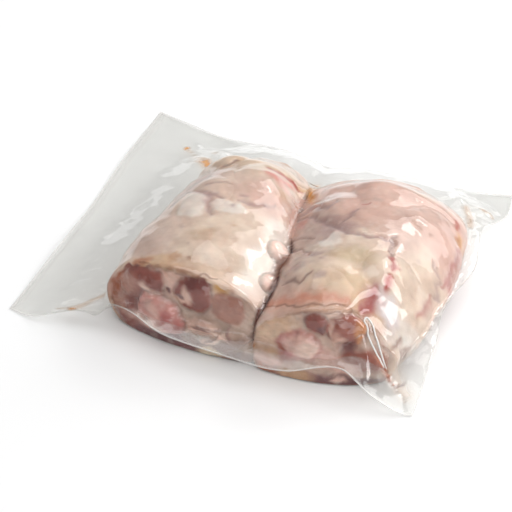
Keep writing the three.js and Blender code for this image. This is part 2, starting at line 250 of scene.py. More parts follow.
RIGHT_PIECE = {
    "name": "foot_right",
    "side": -1,
    "stations": [
        (-117, 26, 121, 53), (-60, 12, 130, 59), (-10, 6, 133, 59), (32, 8, 128, 52), (77, 16, 114, 34),
    ],
    "side_tilt": 0.16,
    "inner_shoulder": (0.1, 0.6, 4),
    "outer_shoulder": (0.1, 0.3, 5),
    "outer_lean": 17,
    "end_round": 30,
    "end_slope": 52,
    "turn_left": 0,
    "turn_right": 16,
    "lean": 10,
    "knobs": [],
    "lumps": [(38, 4, 22, 4), (104, -58, 20, 4), (72, 30, 24, 3), (56, -72, 24, 3), (108, 12, 18, 3)],
    "ground": ("pink skin", "cut fat"),
    "face": [
        (43, 34, 16, 12, 20, 1.5, "yellow fat", 0.5),
        (78, 50, 13, 6, 0, 2, "bone", 0.2),
        (71.5, 42.5, 8.5, 7, -25, 2.5, "muscle", 0.14),
        (74.5, 39.5, 3, 2.4, 0, 0, "maroon", 0.6),
        (89, 39.5, 12.5, 9, -14, 2.5, "red muscle", 0.16),
        (80.5, 41, 1.2, 5, 10, 0.4, "tendon", 0.7),
        (97, 38.5, 3.4, 8.5, -6, 0, "orange", 0.45),
        (100, 19.5, 16, 8, -8, 1, "brick", 0.4),
        (85.5, 30, 4.5, 7.5, 15, 1, "tendon", 0.6),
        (90, 28.5, 5.6, 4.4, 0, -0.8, "marrow", 0.5),
        (84, 17, 14, 7, -30, 1, "knuckle fat", 0.4),
        (38, 16, 12, 4.2, 0, 0.4, "amber", 0.4),
        (40, 9, 13, 5, 8, 0.8, "knuckle fat", 0.5),
        (61, 24.5, 13.4, 11.4, 0, 1, "raw red", 0.2),
        (53.5, 17.5, 6.5, 7, 35, 0, "brick", 0.5),
        (62, 25, 11.2, 9.4, 0, 3, "knuckle fat", 0.22),
        (56, 18, 4, 3, 20, 0, "raw red", 0.6),
        (66, 24, 6, 5, 20, 0, "bone", 0.6),
        (26, 20, 4, 16, 0, 0, "fold", 0.6),
        (70, 2, 50, 5, 0, 0, "shade", 0.5),
        (36, 3, 9, 4, 0, 0, "rust", 0.5),
        (60, 3, 12, 4, 0, 0, "tan", 0.5),
        (94, 2, 22, 5, 0, 0, "maroon", 0.5),
        (88, 4, 5, 2, 0, 0, "pink", 0.5),
    ],
    "patches": [
        (60, 26, 50, 36, 0, "back pink", 0.8, 0.5),
        (72, -60, 34, 32, -10, "cream", 0.8, 0.3),
        (84, -82, 26, 13, 0, "yellow", 0.45, 0.5),
        (76, -54, 17, 10, 5, "olive", 0.6, 0.5),
        # the skin is painted dusky where it slopes down into the crease: painted shade
        (36, -40, 14, 52, 0, "dusk", 0.55, 0.5),
        # The mauve patches in this list are painted shade on the skin.
        (57, -27, 13, 8, 0, "mauve", 0.7, 0.5),
        (25, -14, 5, 7, 0, "raw red", 0.5, 0.5),
        (56, -38, 9, 6, 20, "pale", 0.7, 0.3),
        (48, -57, 6, 4, 20, "mauve", 0.6, 0.5),
        (46, -70, 7, 4, 10, "mauve", 0.6, 0.5),
        (62, -78, 6, 4, 0, "mauve", 0.6, 0.5),
        (48, -16, 9, 4, 20, "mauve", 0.5, 0.5),
        (18, 32, 7, 7, 0, "tan", 0.5, 0.5),
        # The right side is painted paler where light from the right falls on it: painted light. The upper
        # patch is partly the skin's own cream.
        (117, -50, 17, 36, 0, "cream", 0.9, 0.4),
        (121, -88, 13, 15, 0, "pale", 0.95, 0.4),
        # a painted reflection: the film's pale glare on the front of the right side
        (107, -77, 11, 9, 0, "lilac", 0.85, 0.3),
        (124, 4, 12, 28, 0, "pink", 0.8, 0.5),
        (92, 46, 12, 8, 0, "warm", 0.6, 0.5),
    ],
    "strokes": [
        # the mauve and fold creases in this list are painted darker in their grooves: painted shade
        ([(34, -96), (46, -97), (62, -96), (84, -92)], 6, 0, "salmon", 0.85),
        ([(14, 10), (14, 17)], 2.4, 0.8, "maroon", 0.7),
        ([(13, 5), (20, 16), (28, 22)], 2.4, 0.9, "mauve", 0.8),
        ([(16, 1), (26, 10), (38, 2)], 2.6, -0.8, "pink", 0.6),
        ([(17, -1), (28, 3), (40, -4), (44, 4)], 2.2, 0.8, "mauve", 0.7),
        ([(16, -5), (28, -7), (47, -20), (64, -30), (79, -32), (94, -27)], 2, 1, "mauve", 0.8),
        ([(63, 4), (67, 7)], 1.4, 0.3, "raw red", 0.8),
        ([(55, -20), (58, -14), (62, -5)], 1.6, 0.6, "mauve", 0.8),
        ([(94, -21), (95, -33), (97, -44)], 1.3, 0.9, "fold", 0.8),
        ([(98, -44), (101, -49), (104, -56)], 2.6, 0.5, "raw red", 1),
        ([(103, -61), (103.5, -69)], 2.6, 0.4, "red", 1),
        ([(98, -74), (97, -81), (96, -89)], 5, 0.3, "raw red", 1),
        ([(27, -32), (34, -32), (43, -36)], 1.3, 0.7, "fold", 0.8),
        ([(30, -45), (38, -46), (50, -58)], 1.3, 0.7, "fold", 0.8),
        ([(40, -82), (46, -81), (51, -84), (57, -77)], 1.4, 0.7, "fold", 0.8),
        ([(31, -97), (44, -100), (56, -103), (75, -101), (85, -96), (93, -95)], 1, 0.3, "brown", 0.7),
        ([(125, 21), (130, 7), (131, -19), (129, -30)], 1.6, 0.7, "raw red", 0.7),
        ([(119, -20), (126, -28), (128, -40)], 1.4, 0.5, "mauve", 0.6),
        ([(127, -41), (126, -56), (124, -68)], 1.6, 0.6, "raw red", 0.6),
        ([(119, 34), (123, 29)], 2.4, 0, "red", 0.7),
        ([(125, 26), (127, 18)], 3, 0, "gold", 0.6),
        ([(116, -98), (118, -91), (119, -84)], 1.4, 0.6, "fold", 0.7),
        ([(122, -90), (125, -82)], 1.2, 0.5, "fold", 0.6),
        ([(111, -99), (113, -97)], 2, 0, "red", 0.9),
    ],
    "spots": [
        (58, -62, 2, "mauve"), (40, -58, 3, "fold"), (36, -74, 3, "fold"), (70, 12, 4, "dusk"),
        (112, -30, 2.4, "dusk"), (118, -60, 1.8, "dusk"), (84, -66, 2, "tan"), (98, 20, 4, "dusk"),
    ],
}
PIECES = [LEFT_PIECE, RIGHT_PIECE]

# ---------- the film ----------

FRONT_EDGE = [
    (-140, -122), (-114, -126), (-84, -113), (-58, -116), (-28, -128), (20, -131),
    (60, -130), (90, -120), (113, -129), (140, -122),
]
BACK_EDGE = [(-143, 130), (-95, 117), (-40, 110), (0, 101), (50, 103), (95, 112), (140, 125)]
LEFT_EDGE = [(-140, -122), (-138, -40), (-142, 60), (-143, 130)]
RIGHT_EDGE = [(140, -122), (139, -72), (134, -44), (141, 8), (134, 58), (142, 96), (140, 125)]
# Where the film leaves the meat, seen from above.
SEAM_FRONT = [
    (-80, -104), (-62, -111), (-30, -119), (10, -117), (55, -119), (86, -109), (112, -100), (126, -88),
]
SEAM_BACK = [(-60, 66), (-42, 76), (-18, 78), (2, 70), (13, 62), (30, 74), (62, 83), (88, 84), (106, 78)]
SEAM_LEFT = [(-80, -104), (-84, -60), (-76, -10), (-72, 34), (-67, 56), (-60, 66)]
SEAM_RIGHT = [(126, -88), (132, -60), (137, -10), (132, 34), (123, 60), (106, 78)]
SEAM_HEIGHT = 21  # where the two webs meet at the meat's side, above the table
SEAM_REACH = 28  # distance over which the flange comes down to the table
WAVE_HEIGHT = 0.9
WAVES = [(15, 31, 0), (-43, 17, 1.2)]  # how far apart along X and along Y, and a shift
FREE_FROM = 20  # the waves are full at this distance from the meat
CORNER = (141, 124)  # the pouch's corners lie on the table
CORNER_REACH = 36  # as far as this from them the film is lifted less
EDGE_LIFT = 0.7  # the flange's own least height
WEB_GAP = 0.25  # half the gap between the two webs of the flange, and the film's lift off the table
CLEARANCE = 0.45  # between film and meat

RINGS = 26  # rings of cells in the flange
WALL_RINGS = 34  # and down the sides of the meat
EDGE_STRIP = 0.7  # width of the outermost ring
HELD_RINGS = 0.55 * RINGS  # the film doesn't move out there while the air is drawn out
FLANGE_ENDS = (RINGS - 3, RINGS + 4)  # between these rings the flange turns into the hugging film
LIFT_LOSS = 0.92  # the flange's height is lost by this share
LIFT_LOSS_RINGS = 9  # over this many rings
HAT_CLEARANCE = 8  # how high the loose film starts above the meat
HAT_LEAN = 0.05  # how much its walls lean in
HAT_MIDDLE = (20, -18)  # towards this point
STRIDES = (4, 2, 1)  # it is drawn tight on every fourth cell first, and then on finer ones
FULL_ROUNDS = (50, 20, 8)  # this many rounds on each
TENSION = 0.5  # how far a cell moves in a round towards the middle of its neighbours
MOST_SUCTION = 1.5  # and how far the outer air may push it in a round

# Folds of film from the meat to the pouch's corners: from, to, height, half width.
FOLDS = [
    ((99, -101), (136, -121), 18, 11),
    ((-82, -110), (-118, -118), -17, 10),
    ((-64, 66), (-118, 108), 5, 7),
    ((112, 70), (134, 112), 6, 8),
]
# Where the flange lies lower: X, Y, radius and share.
DIPS = [(125, -106, 16, 0.75)]
# Sharp pleats in the film: points, half width, height.
PLEATS = [
    ([(121, -114), (122, -105), (123, -89)], 1.8, 0.8),
    ([(127, -114), (130, -97), (131, -80)], 2.0, 0.8),
    ([(-104, -118), (-92, -110), (-79, -103)], 2.0, 1.4),
    ([(-106, -94), (-94, -92), (-84, -96)], 1.6, 0.9),
    ([(-107, -82), (-96, -81), (-84, -84)], 1.6, 0.8),
    ([(-97, -104), (-88, -101), (-80, -98)], 1.6, 0.9),
    ([(-101, 86), (-88, 74), (-74, 57)], 1.6, 1.0),
    ([(-92, 70), (-80, 62), (-70, 56)], 1.8, 0.9),
    ([(-85, 88), (-76, 76), (-66, 66)], 1.8, 0.9),
    ([(118, 66), (128, 84), (134, 82)], 1.6, 1.0),
    ([(110, 80), (122, 90), (131, 90)], 1.8, 0.8),
    ([(-90, -5), (-80, -8), (-73, -12)], 1.4, 0.7),
    ([(8, 82), (11, 72), (13, 60)], 2.0, 0.9),
]
# Random waves of the free film, like the pieces' fields above, and ripples of the hugging film.
FLANGE_WAVES = [(0.35, 26, 51), (0.2, 11, 52)]
RIPPLES = [(0.06, 11, 53)]
# A pinched fold stands on the film at the right piece's front corner: X, Y and Z along it.
PINCH = [
    (117, -102.5, 10), (111, -101.5, 20), (105.5, -100, 30), (101, -97.5, 36.5), (97.5, -93.5, 42),
    (98.5, -91, 44), (101.5, -91.5, 41), (107, -96.5, 33), (112, -100, 23), (116, -101.5, 13),
]
PINCH_RADIUS = 0.6
PINCH_CELLS = (80, 8)  # along it and round it
PINCH_MILK = 2  # how much milkier it is than the pouch's rim
# Juice drawn out along the film, and painted shade along the crease: points, half width, strength and colour.
JUICE_AND_CREASE_SHADE = [
    ([(-106, -116), (-96, -115), (-88, -108), (-79, -101)], 1.3, 0.5, "amber"),
    ([(-97, -116), (-95, -115)], 1.7, 0.9, "amber"),
    ([(-76, 57), (-71, 52), (-66, 48)], 3.2, 0.85, "bright amber"),
    ([(-101, 86), (-101, 84)], 1.4, 0.95, "bright amber"),
    ([(-100, 84), (-88, 72), (-77, 58)], 0.6, 0.35, "bright amber"),
    ([(-76, 57), (-81, 68)], 0.7, 0.6, "bright amber"),
    ([(-76, 57), (-70, 68)], 0.6, 0.5, "bright amber"),
    ([(118, 66), (122, 62), (126, 50)], 2.2, 0.5, "amber"),
    ([(124, 78), (131, 84), (134, 80)], 1.0, 0.55, "amber"),
    ([(113, -100), (118, -103), (122, -106)], 1.2, 0.7, "rust"),
    ([(122, -106), (127, -103), (130, -103)], 0.8, 0.6, "brown"),
    ([(122, -106), (128, -110), (133, -115)], 0.8, 0.5, "brown"),
    ([(12, 56), (12, 48), (14, 38), (20, 24)], 2.4, 0.6, "bright amber"),
    # These three darken the film along the crease between the pieces: painted shade.
    ([(31, -112), (32, -100), (32.5, -88), (33, -77), (30.5, -70)], 1.2, 0.9, "dark brown"),
    ([(31, -73), (29.5, -66), (29.5, -60), (30.5, -56)], 3, 0.7, "brown"),
    ([(31, -54), (30.5, -44), (27, -33)], 0.9, 0.7, "dark brown"),
    ([(25, -28), (21, -18), (17.5, -6), (14, 12), (13, 28)], 3.2, 0.7, "fat pink"),
    ([(21, -17), (18, -9), (16.5, -1)], 2.2, 0.6, "maroon"),
    ([(119, -98), (125, -104), (131, -109)], 5, 0.45, "cream"),
    ([(110, -103), (114, -102), (118, -104)], 2.2, 0.55, "salmon"),
]
# The juice and the crease's painted shade wander off those lines by this much.
LINE_WANDER = 0.5
LINE_WANDER_FIELDS = [(7, 61), (6, 62)]  # size and seed, for X and for Y

# ---------- the studio ----------

# Area lights in metres: name, place, size and watts.
LIGHTS = [
    ("back_softbox", (0.62, 1.15, 0.86), (1.3, 1.0), 11),
    ("back_lamp", (0.52, 1.07, 0.97), (0.36, 0.2), 1.7),
    ("top_softbox", (-0.2, 0.1, 1.6), (1.6, 1.6), 13),
    ("right_softbox", (1.15, 0.15, 0.85), (0.6, 0.5), 6),
    ("front_fill", (1.1, -1.2, 0.6), (1.4, 0.9), 8),
]
LIGHT_TARGET = (0, 0, 0.02)
FLOOR_HALF = 6
AIR_LIGHT = 0.4
CAMERA_TARGET = (-1.67, -26.2, 15)  # in millimetres, like the pack

# ---------- shapes worked out from the sizes above ----------

def smooth(t):
    return t * t * (3 - 2 * t)


def ramp(value, low, high):
    """0 below low, 1 above high and smooth in between."""
    return smooth(np.clip((value - low) / (high - low), 0, 1))


def bell(value):
    """1 at 0, falling to about a third at 1 and to nothing past 2."""
    return np.exp(-(value**2))


def swelling(distance, radius, height):
    return height * np.clip(1 - (distance / radius) ** 2, 0, 1)


def field(points, size, seed, waves=14):
    """A smooth random field over points, about -1 to 1, with features of that size."""
    draw = np.random.default_rng(seed)
    total = np.zeros(points.shape[:-1])
    for _ in range(waves):
        direction = draw.normal(size=points.shape[-1])
        direction *= 2 * math.pi / size / np.linalg.norm(direction) * draw.uniform(0.5, 1.3)
        total += np.sin(points @ direction + draw.uniform(0, 2 * math.pi))
    return total / math.sqrt(waves)


def roughly(points, rows):
    """The sum of random fields that a table gives."""
    return sum(strength * field(points, size, seed) for strength, size, seed in rows)


def curve_through(points, count):
    """Evenly spaced points on a smooth curve through the given ones."""
    p = np.array(points, float)
    p = np.vstack([2 * p[0] - p[1], p, 2 * p[-1] - p[-2]])
    steps = np.linspace(0, 1, 40, endpoint=False)[:, None]
    out = []
    for a, b, c, d in zip(p, p[1:], p[2:], p[3:]):
        t0, t1, t2 = (math.sqrt(np.linalg.norm(e)) for e in (b - a, c - b, d - c))
        start = ((b - a) / t0 - (c - a) / (t0 + t1) + (c - b) / t1) * t1
        end = ((c - b) / t1 - (d - b) / (t1 + t2) + (d - c) / t2) * t1
        out.append(
            b + start * steps + (3 * (c - b) - 2 * start - end) * steps**2
            + (2 * (b - c) + start + end) * steps**3
        )
    out = np.vstack(out + [p[-2:-1]])
    length = np.concatenate([[0], np.cumsum(np.linalg.norm(np.diff(out, axis=0), axis=1))])
    at = np.linspace(0, length[-1], count)
    return np.stack([np.interp(at, length, row) for row in out.T], axis=1)


def path_distance(points, path):
    """Distance from points to a path of straight runs, and how far along the path, 0 to 1."""
    best = np.full(points.shape[:-1], 1e9)
    where = np.zeros(points.shape[:-1])
    path = np.array(path, float)
    for k, (a, b) in enumerate(zip(path, path[1:])):
        run = b - a
        t = np.clip(((points - a) @ run) / (run @ run), 0, 1)
        gap = np.linalg.norm(points - a - t[..., None] * run, axis=-1)
        where = np.where(gap < best, (k + t) / (len(path) - 1), where)
        best = np.minimum(best, gap)
    return best, where


def crease_at(y):
    rows = np.array(CREASE, float)
    return sum(np.interp(y + shift, rows[:, 0], rows[:, 1]) for shift in CREASE_SHIFTS) / len(CREASE_SHIFTS)


def stations(piece, y):
    rows = np.array(piece["stations"], float)
    i = np.clip(np.searchsorted(rows[:, 0], y) - 1, 0, len(rows) - 2)
    t = smooth(np.clip((y - rows[i, 0]) / (rows[i + 1, 0] - rows[i, 0]), 0, 1))
    return (rows[i, k] + (rows[i + 1, k] - rows[i, k]) * t for k in (1, 2, 3))


def end_share(distance, tip):
    t = 1 - np.clip(distance, 0, 1)
    return np.sqrt(1 - (1 - tip * tip) * t * t)


def piece_points(piece, box):
    """Where the points of a closed box grid lie on a piece, and what each knows about its place."""
    u, v, w = box.T
    front, back = piece["stations"][0][0], piece["stations"][-1][0]
    along = (1 + v * (1 + END_CROWDING * (1 - v * v))) / 2
    y = front + (back - front) * along
    left, right, top = stations(piece, y)
    tilt = 1 + piece["side_tilt"] * u * (1 - along)
    # the top rolls down to the crease on one side, and to the free side on the other
    inner = (1 + piece["side"] * u) / 2
    for shoulder, nearness in (("inner_shoulder", inner), ("outer_shoulder", 1 - inner)):
        at_face, at_back, power = piece[shoulder]
        tilt -= (at_face + (at_back - at_face) * along) * nearness**power
    half_height = np.where(w > 0, (top - WAIST) * tilt, WAIST + UNDERCUT)
    roundness = np.where(w > 0, ROUNDNESS, BASE_ROUNDNESS)
    near_edge = np.clip(1 - (y - front) / EDGE_ROUND, 0, 1)
    inset = EDGE_INSET * (1 - np.sqrt(1 - near_edge**2))
    across = ((right - left) / 2 - inset) * end_share((back - y) / piece["end_round"], END_WIDTH)
    up = (half_height - inset) * end_share((back - y) / piece["end_slope"], END_HEIGHT)
    x = (left + right) / 2 + u * np.sqrt(1 - roundness * w * w) * across
    # near the cut the free side leans in at the top
    leaning = (1 - inner) ** 3 * np.clip(w, 0, 1) * np.clip(1 - along / OUTER_LEAN_REACH, 0, 1)
    x += piece["side"] * piece["outer_lean"] * leaning
    z = WAIST + w * np.sqrt(1 - roundness * u * u) * up
    for lump_x, lump_y, radius, height in piece["lumps"]:
        z += np.clip(w, 0, 1) * swelling(np.hypot(x - lump_x, y - lump_y), radius, height)
    limit = crease_at(y) - piece["side"] * CREASE_GAP / 2
    x = np.minimum(x, limit) if piece["side"] > 0 else np.maximum(x, limit)
    near_face = np.clip(1 - along / LEAN_REACH, 0, 1)
    lean = piece["lean"] * np.clip(z / top, 0, 1)
    lean += piece["turn_right"] * ((u + 1) / 2) ** 3 + piece["turn_left"] * ((1 - u) / 2) ** 3
    rim = np.maximum(np.abs(u), np.abs(w))
    bulge = np.where(v >= 1, END_BULGE * (1 - rim * rim), 0)
    # how far inside the cut face a point is, or how far outside it on the skin, below zero
    inside = np.where(v <= -1, (1 - rim) * FACE_REACH, front - y)
    points = np.stack([x, y + lean * near_face + bulge, np.maximum(z, MEAT_FLOOR)], axis=1)
    return points, inside


def distance_to_piece(piece, x, y):
    front, back = piece["stations"][0][0], piece["stations"][-1][0]
    left, right, _ = stations(piece, np.clip(y, front, back))
    corner = np.where(y > 0, END_CORNER, 0)
    dx = np.maximum(left - x, x - right) + corner
    dy = np.maximum(front - y, y - back) + corner
    return np.maximum(np.hypot(np.maximum(dx, 0), np.maximum(dy, 0)) - corner, 0)


def film_middle(xy):
    """Height of the pouch's flange."""
    x, y = xy[..., 0], xy[..., 1]
    away = np.minimum(*(distance_to_piece(piece, x, y) for piece in PIECES))
    z = SEAM_HEIGHT * bell(away / SEAM_REACH)
    for start, end, height, width in FOLDS:
        gap, along = path_distance(xy, [start, end])
        z += height * (1 - along) ** 1.5 * bell(gap / width)
    free = np.clip(away / FREE_FROM, 0, 1)
    for wave_x, wave_y, shift in WAVES:
        z += free * WAVE_HEIGHT * (1 + np.sin(x / wave_x + y / wave_y + shift))
    for dip_x, dip_y, radius, share in DIPS:
        z *= 1 - share * bell(np.hypot(x - dip_x, y - dip_y) / radius)
    z = np.maximum(z, 0)
    corner = np.hypot(np.abs(x) - CORNER[0], np.abs(y) - CORNER[1])
    return z * ramp(corner, 0, CORNER_REACH) + EDGE_LIFT


# ---------- meshes ----------

def middle_of_pouch():
    outline = np.vstack([curve_through(e, 400) for e in (FRONT_EDGE, BACK_EDGE, LEFT_EDGE, RIGHT_EDGE)])
    return np.append((outline.min(axis=0) + outline.max(axis=0)) / 2, 0)


MIDDLE = middle_of_pouch()


def linear(code):
    """An sRGB hex code as linear light."""
    parts = [int(code[k : k + 2], 16) / 255 for k in (0, 2, 4)]
    return [c / 12.92 if c <= 0.04045 else ((c + 0.055) / 1.055) ** 2.4 for c in parts]


def new_object(name, bm):
    mesh = bpy.data.meshes.new(name)
    bm.to_mesh(mesh)
    bm.free()
    obj = bpy.data.objects.new(name, mesh)
    bpy.context.scene.collection.objects.link(obj)
    mesh.shade_smooth()
    return obj


def read(mesh, what="co"):
    source, key = (mesh.vertices, "co") if what == "co" else (mesh.vertex_normals, "vector")
    flat = np.empty(len(mesh.vertices) * 3)
    source.foreach_get(key, flat)
    return flat.reshape(-1, 3)


def place(mesh, points):
    """Sets the vertices from millimetres about the design's origin."""
    mesh.vertices.foreach_set("co", ((points - MIDDLE) * MM).ravel())
    mesh.update()


def add_value(mesh, name, values):
    mesh.attributes.new(name, "FLOAT", "POINT").data.foreach_set("value", values.astype(np.float32))


def add_colour(mesh, name, values):
    rgba = np.concatenate([values, np.ones((len(values), 1))], axis=1)
    layer = mesh.attributes.new(name, "FLOAT_COLOR", "POINT")
    layer.data.foreach_set("color", rgba.astype(np.float32).ravel())


def blend(base, paint, mask):
    return base + (np.array(linear(PAINTS[paint])) - base) * mask[:, None]


def oval(a, b, row):
    """0 at the middle of an oval patch and 1 on its outline."""
    centre_a, centre_b, radius_a, radius_b, turn = row[:5]
    c, s = math.cos(math.radians(turn)), math.sin(math.radians(turn))
    da, db = a - centre_a, b - centre_b
    return np.hypot((c * da + s * db) / radius_a, (c * db - s * da) / radius_b)


def wobble(points, rows):
    """Points shifted by random fields, so that what is drawn on them has an uneven outline."""
    for reach, size, seed in rows:
        shift = [field(points, size, seed + k) for k in range(2)]
        points = points + np.stack(shift, axis=-1) * reach
    return points


def face_layers(piece, points, inside):
    """Relief and colour of the cut face."""
    flat = wobble(points[:, [0, 2]], FACE_WOBBLE)
    colour = np.tile(linear(PAINTS[piece["ground"][1]]), (len(points), 1))
    relief = np.zeros(len(points))
    for row in piece["face"]:
        height, paint, soft = row[5:]
        d = oval(flat[:, 0], flat[:, 1], row)
        colour = blend(colour, paint, 1 - ramp(d, 1 - soft, 1 + soft))
        relief += height * np.clip(1 - d**2, 0, 1) ** 0.6
        # the groove round a crisp proud muscle is painted darker: painted shade
        if height >= PROUD and soft < CRISP:
            groove = bell((d - GROOVE_AT) * min(row[2:4]) / GROOVE_WIDTH)
            colour = blend(colour, "fold", groove * 0.45)
            relief -= GROOVE_DEPTH * groove
    # fibres run across the muscles
    fibre = field(flat * FIBRE_SQUEEZE, FIBRE_SIZE, FIBRE_SEED)
    colour *= (1 + 0.06 * fibre)[:, None]
    return relief * ramp(inside, 0, FACE_FADE), colour


def skin_layers(piece, points):
    """Relief and colour of the skin, as seen from above."""
    flat = points[:, :2]
    colour = np.tile(linear(PAINTS[piece["ground"][0]]), (len(points), 1))
    relief = np.zeros(len(points))
    uneven = wobble(flat, PATCH_WOBBLE)
    for row in piece["patches"]:
        paint, strength, soft = row[5:]
        mask = 1 - ramp(oval(uneven[:, 0], uneven[:, 1], row), 1 - soft, 1 + soft)
        colour = blend(colour, paint, mask * strength)
        if soft < CRISP_PATCH:
            relief += PATCH_HEIGHT * mask
    uneven = wobble(flat, STROKE_WOBBLE)
    upper = ramp(points[:, 2], 4, 14)
    for path, width, depth, paint, strength in piece["strokes"]:
        gap, along = path_distance(uneven, path)
        taper = np.clip(4 * along * (1 - along) + 0.25, 0, 1)
        mask = bell(gap / (width * (0.5 + 0.5 * taper))) * upper
        colour = blend(colour, paint, mask * strength)
        relief -= depth * mask
    for x, y, radius, paint in piece["spots"]:
        gap = np.hypot(uneven[:, 0] - x, (uneven[:, 1] - y) * 1.4)
        colour = blend(colour, paint, 0.6 * bell(gap / radius) * upper)
    for *centre, radius, height in piece["knobs"]:
        d = np.linalg.norm(points - centre, axis=1) / radius
        # the groove round a knob is painted darker: painted shade
        groove = bell((d - GROOVE_AT) * radius / KNOB_GROOVE_WIDTH)
        colour = blend(colour, "nub", 0.8 * (1 - ramp(d, 0.8, 1.0)))
        colour = blend(colour, "fold", 0.5 * groove)
        relief += height * np.sqrt(np.clip(1 - d**2, 0, 1)) - GROOVE_DEPTH * groove
    # under the waist the skin is painted darker: painted shade
    colour = blend(colour, "shade", 0.75 * (1 - ramp(points[:, 2], 2, 17)))
    return relief, colour


def whole_surface(piece, points, inside):
    """Skin and cut face together: share of the cut face, relief and colour."""
    edge = inside + roughly(points, SKIN_END)
    on_face = ramp(edge, -0.6, 0.8)
    face_relief, face_colour = face_layers(piece, points, inside)
    skin_relief, skin_colour = skin_layers(piece, points)
    # the skin dries yellowish round the cut, with a thin brown line here and there on its edge
    patchy = np.clip(0.45 + roughly(points, DRY_PATCHES), 0, 1)
    skin_colour = blend(skin_colour, "tan", 0.5 * patchy * bell(edge / 7))
    colour = skin_colour + (face_colour - skin_colour) * on_face[:, None]
    colour = blend(colour, "brown", 0.7 * patchy * bell((edge - 0.6) / 0.8))
    colour *= (1 + roughly(points, TONES))[:, None]
    above_table = ramp(points[:, 2], MEAT_FLOOR, 8)
    relief = (1 - on_face) * (skin_relief + roughly(points, DENTS) * above_table)
    relief += on_face * (face_relief * above_table + roughly(points, FACE_ROUGHNESS))
    return on_face, relief, colour


def build_piece(piece, cell):
    """One cut piece: a closed grid moved on to its form, then given relief and colour."""
    rows = np.array(piece["stations"], float)
    size = (np.ptp(rows[:, 1:3]), np.ptp(rows[:, 0]), rows[:, 3].max())
    bm = bmesh.new()
    bmesh.ops.create_cube(bm, size=2)
    for axis in range(3):
        edges = [e for e in bm.edges if abs(e.verts[0].co[axis] - e.verts[1].co[axis]) > 1]
        bmesh.ops.subdivide_edges(bm, edges=edges, cuts=round(size[axis] / cell) - 1, use_grid_fill=True)
    obj = new_object(piece["name"], bm)
    mesh = obj.data
    points, inside = piece_points(piece, read(mesh))
    place(mesh, points)
    on_face, relief, colour = whole_surface(piece, points, inside)
    points += read(mesh, "normals") * relief[:, None]
    limit = crease_at(points[:, 1]) - piece["side"] * CREASE_GAP / 2
    side_clamp = np.minimum if piece["side"] > 0 else np.maximum
    points[:, 0] = side_clamp(points[:, 0], limit)
    points[:, 2] = np.maximum(points[:, 2], MEAT_FLOOR)
    # The skin down in the crease is painted dark brown by this strength: painted shade.
    from_crease = np.abs(points[:, 0] - crease_at(points[:, 1]))
    wet = np.interp(points[:, 1], *zip(*CREASE_SHADE)) * (1 - on_face)
    colour = blend(colour, "dark brown", wet * np.clip(1 - from_crease / CREASE_SHADE_WIDTH, 0, 1))
    place(mesh, points)
    add_colour(mesh, "paint", np.clip(colour, 0, 1))
    add_value(mesh, "cut", on_face)
    return obj


def feet_tree():
    """Both pieces as one search tree, in millimetres."""
    points, faces = [], []
    for piece in PIECES:
        mesh = bpy.data.objects[piece["name"]].data
        start = len(points)
        points.extend((read(mesh) / MM + MIDDLE).tolist())
        faces.extend([[start + k for k in p.vertices] for p in mesh.polygons])
    return BVHTree.FromPolygons(points, faces)


def coons(front, back, left, right):
    """A grid stretched between four rows of points: [across, along]."""
    s = np.linspace(0, 1, len(front))[:, None, None]
    t = np.linspace(0, 1, len(left))[None, :, None]
    grid = (1 - t) * front[:, None] + t * back[:, None] + (1 - s) * left[None] + s * right[None]
    grid -= (1 - s) * (1 - t) * front[0] + s * (1 - t) * front[-1]
    grid -= (1 - s) * t * back[0] + s * t * back[-1]
    return grid


def ring(grid, k):
    """Index pairs of the k-th ring of a grid, counted from its edge: front, back, left, right."""
    m, n = grid.shape[:2]
    across, along = np.arange(k, m - k), np.arange(k, n - k)
    return [
        (across, np.full(len(across), k)),
        (across, np.full(len(across), n - 1 - k)),
        (np.full(len(along), k), along),
        (np.full(len(along), m - 1 - k), along),
    ]


def film_start(cells):
    """The two webs before the air is drawn out: a flange, and inside it a loose hat or tray."""
    m, n = cells
    plan = np.zeros((m + 1, n + 1, 2))
    drop = np.zeros((m + 1, n + 1))
    edges = (FRONT_EDGE, BACK_EDGE, LEFT_EDGE, RIGHT_EDGE)
    seams = (SEAM_FRONT, SEAM_BACK, SEAM_LEFT, SEAM_RIGHT)
    for k in range(RINGS + WALL_RINGS + 1):
        for (i, j), edge, seam in zip(ring(plan, k), edges, seams):
            outer, inner = curve_through(edge, len(i)), curve_through(seam, len(i))
            if k <= RINGS:
                gap = np.linalg.norm(outer - inner, axis=1)[:, None]
                t = np.full_like(gap, k / RINGS) if k != 1 else EDGE_STRIP / gap
                plan[i, j] = outer + (inner - outer) * t
            else:
                t = (k - RINGS) / WALL_RINGS
                plan[i, j] = inner + (np.array(HAT_MIDDLE) - inner) * HAT_LEAN * t
                drop[i, j] = t
    k = RINGS + WALL_RINGS
    rows = [plan[i, j] for i, j in ring(plan, k)]
    plan[k : m + 1 - k, k : n + 1 - k] = coons(*rows)
    drop[k : m + 1 - k, k : n + 1 - k] = 1
    return plan, drop


def hug(points, suction, tree):
    """Draws points towards the meat, and moves any that got too near or inside back out of it."""
    for k, p in enumerate(points.tolist()):
        near, normal, _, distance = tree.find_nearest(p)
        p = Vector(p)
        if distance < CLEARANCE or (p - near).dot(normal) < 0:
            points[k] = near + normal * CLEARANCE
        else:
            points[k] = p.lerp(near, min(suction[k], distance - CLEARANCE) / distance)


def finer(coarse, stride, shape):
    """A grid's values at every cell of the full grid, by straight steps."""
    for axis in (0, 1):
        at = np.arange(shape[axis]) / stride
        low = np.minimum(at.astype(int), coarse.shape[axis] - 2)
        share = (at - low)[:, None, None] if axis == 0 else (at - low)[None, :, None]
        coarse = np.take(coarse, low, axis) * (1 - share) + np.take(coarse, low + 1, axis) * share
    return coarse


